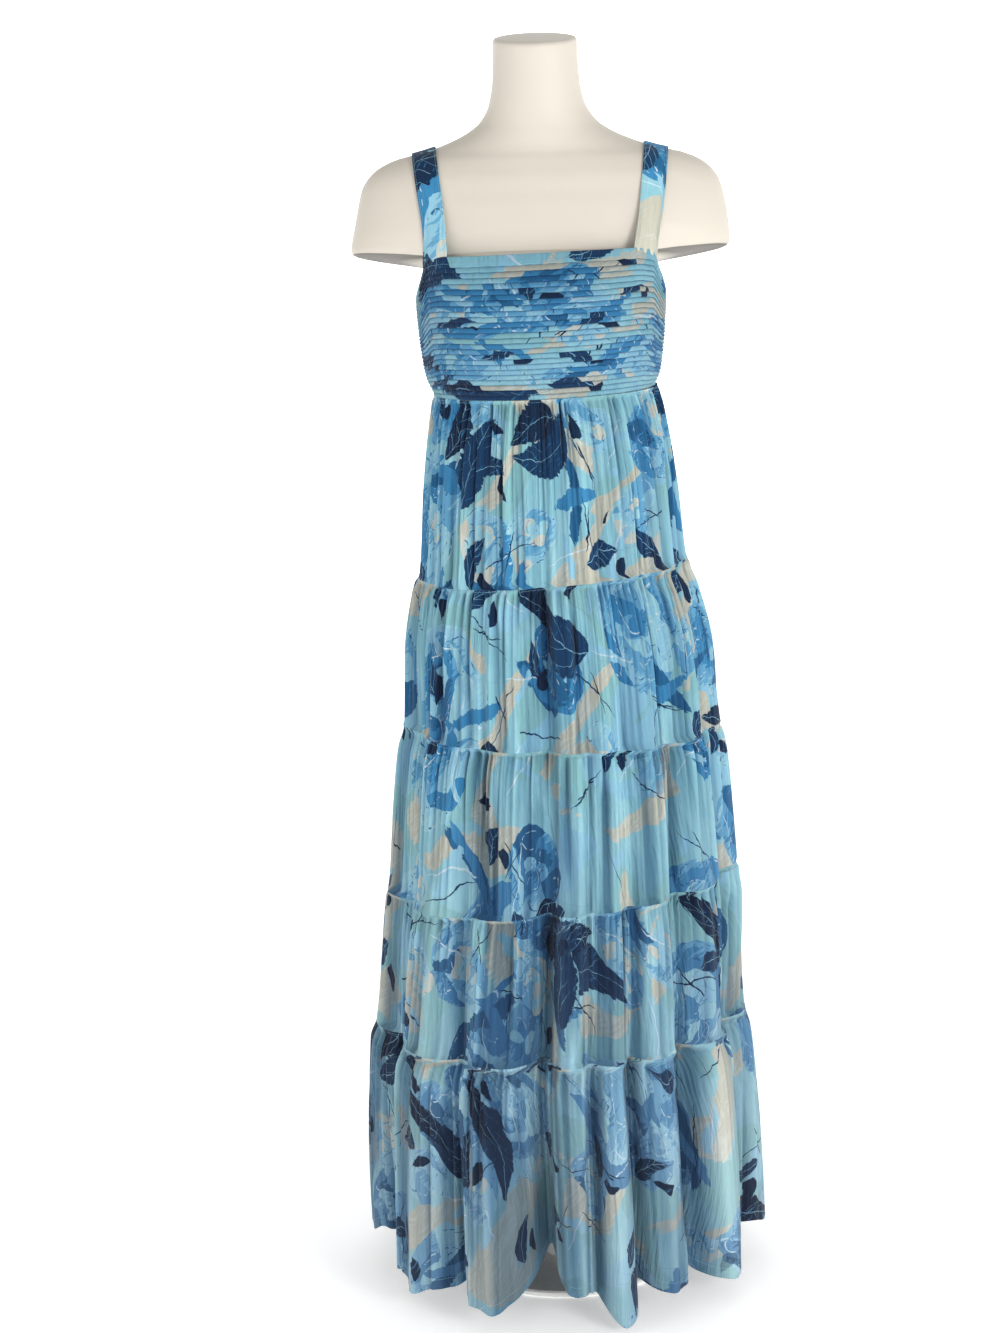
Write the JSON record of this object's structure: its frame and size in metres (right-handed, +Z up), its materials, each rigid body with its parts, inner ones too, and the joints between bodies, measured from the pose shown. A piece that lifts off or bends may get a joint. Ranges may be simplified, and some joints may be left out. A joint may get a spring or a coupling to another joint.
{
  "type": "tiered maxi dress on a dress form",
  "caption": "Long sleeveless dress with a tucked square-neck bodice, wide shoulder straps and gathered skirt tiers, worn by a limbless dress form on a pole and round base",
  "frame": {"origin": "on the floor, at the middle of the underside of the stand's base", "axes": "+Z up, the front of the dress faces -Y, the wearer's left is +X"},
  "size_m": [0.4916, 0.481, 1.478],
  "materials": {
    "printed_chiffon": "soft, lightly crinkled chiffon with an all-over floral print in blues",
    "form_plastic": "smooth cream with a low sheen",
    "stand_metal": "satin"
  },
  "bodies": {
    "root": {"bodice_front": "printed_chiffon", "bodice_back": "printed_chiffon", "strap_wearer_left": "printed_chiffon", "strap_wearer_right": "printed_chiffon", "tier_1_front": "printed_chiffon", "tier_1_back": "printed_chiffon", "tier_2_front": "printed_chiffon", "tier_2_back": "printed_chiffon", "tier_3_front": "printed_chiffon", "tier_3_back": "printed_chiffon", "tier_4_front": "printed_chiffon", "tier_4_back": "printed_chiffon", "tier_5_front": "printed_chiffon", "tier_5_back": "printed_chiffon", "dress_form": "form_plastic", "stand_pole": "stand_metal", "stand_base": "stand_metal"}
  },
  "joints": []
}
